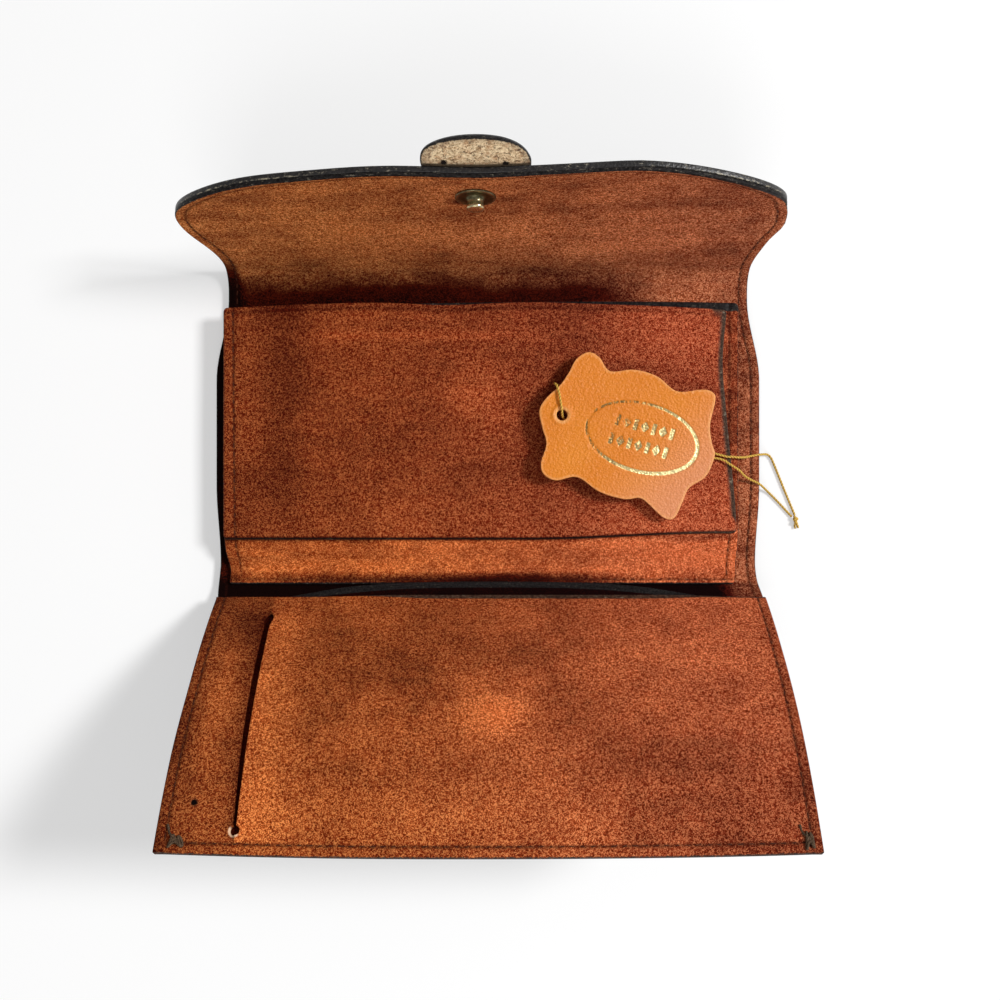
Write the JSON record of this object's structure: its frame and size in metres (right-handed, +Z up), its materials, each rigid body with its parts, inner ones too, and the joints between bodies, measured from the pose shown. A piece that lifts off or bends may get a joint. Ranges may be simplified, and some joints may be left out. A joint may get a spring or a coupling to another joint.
{
  "type": "wallet",
  "caption": "Long suede-lined leather wallet lying open, with a raised front pocket panel, an inner page, a curved flap with a press stud and tab, and a loose tag.",
  "frame": {"origin": "on the rest plane, in the middle of the back panel's flat outer face", "axes": "+X along the folds to the wearer's right, +Y from the front panel to the flap, +Z up out of the open wallet"},
  "size_m": [0.2076, 0.206, 0.0799],
  "materials": {
    "black_leather": "smooth, painted edges, slight sheen",
    "brown_suede": "napped suede side, matt",
    "natural_tan": "rough flesh side, matt, black painted edge",
    "antique_brass": "dark antique",
    "orange_leather": "smooth fine grain, foil stamped",
    "mustard_thread": "twisted thread, matt"
  },
  "bodies": {
    "root": {"outer_leather": "black_leather", "lining": "brown_suede", "front_pocket_backing": "brown_suede", "front_pocket_sheet": "brown_suede", "page_back_sheet": "brown_suede", "page_front_sheet": "brown_suede", "pull_tab": "natural_tan", "snap_cap": "antique_brass", "snap_stud": "antique_brass", "snap_socket": "antique_brass", "socket_eyelet": "antique_brass", "hang_tag": "orange_leather", "tag_thread": "mustard_thread", "thread_knot": "mustard_thread"}
  },
  "joints": []
}
